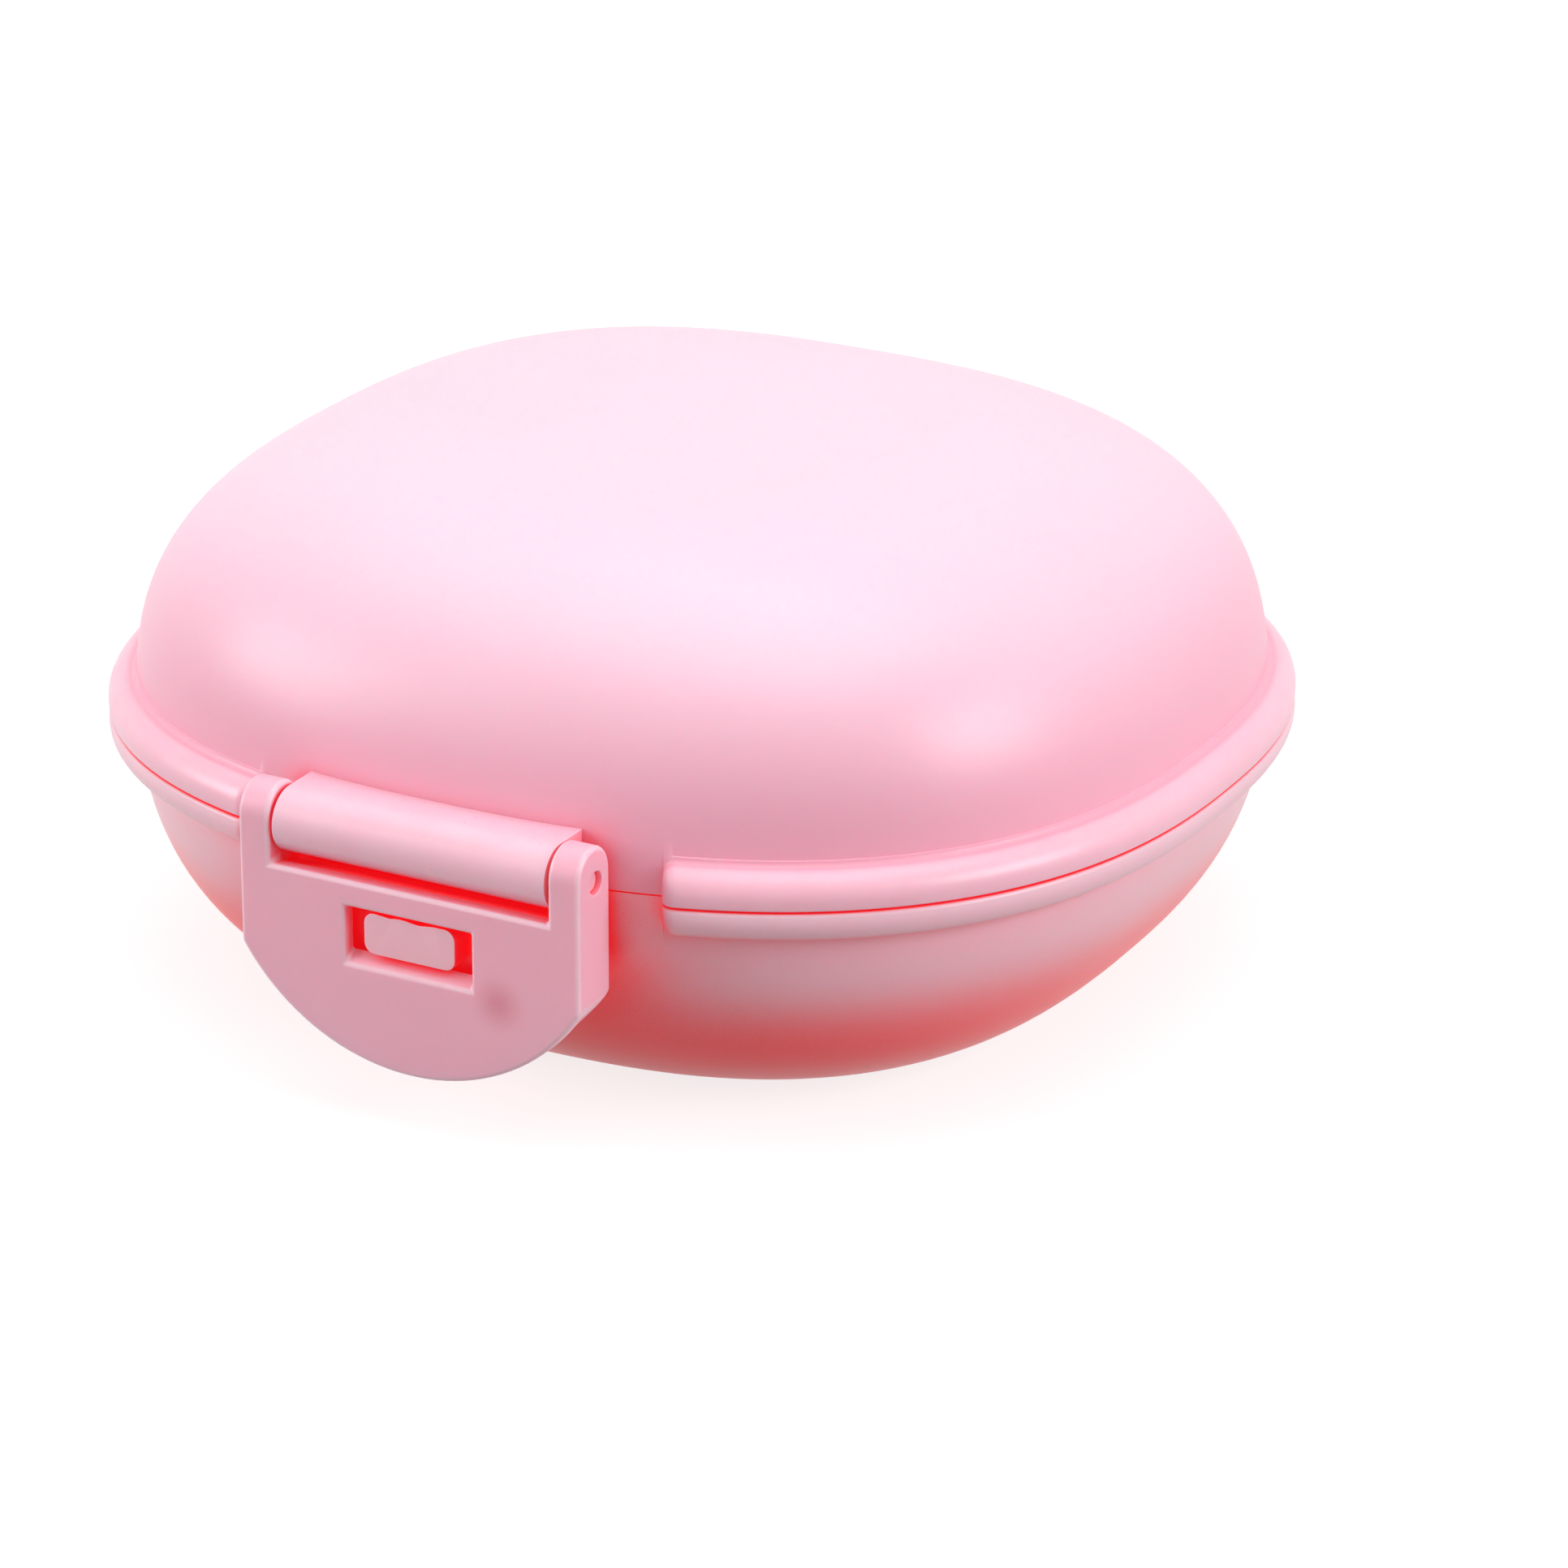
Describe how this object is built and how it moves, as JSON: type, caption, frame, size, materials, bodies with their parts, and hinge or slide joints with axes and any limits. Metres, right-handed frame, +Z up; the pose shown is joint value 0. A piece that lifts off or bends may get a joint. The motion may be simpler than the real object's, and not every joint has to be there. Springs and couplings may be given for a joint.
{
  "type": "travel soap box",
  "caption": "Rounded-square travel soap box with a domed lid on a rear hinge, a front clip and an inner drain tray.",
  "frame": {"origin": "centre of the flat underside, on the surface that the box stands on", "axes": "+Z up, -Y towards the clip at the front, +X to the right for someone facing the clip"},
  "size_m": [0.087, 0.087, 0.041],
  "materials": {
    "base_pink": "satin moulded",
    "lid_pink": "satin moulded",
    "clip_pink": "satin moulded",
    "tray_pink": "satin moulded",
    "pin_pink": "satin moulded",
    "pin_steel": "drawn",
    "seal_rubber": "matte"
  },
  "bodies": {
    "base": {"base_shell": "base_pink", "hinge_pin": "pin_steel", "drain_tray": "tray_pink"},
    "lid": {"lid_shell": "lid_pink", "seal_ring": "seal_rubber", "latch_pin": "pin_pink"},
    "latch": {"latch_plate": "clip_pink"}
  },
  "joints": [
    {"name": "lid_hinge", "type": "hinge", "parent": "base", "child": "lid", "pos_m": [0, 0.0414, 0.0197], "axis": [-1, 0, 0], "range_deg": [0, 120]},
    {"name": "latch_pivot", "type": "hinge", "parent": "lid", "child": "latch", "pos_m": [0, -0.0409, 0.0216], "axis": [-1, 0, 0], "range_deg": [0, 90]}
  ]
}
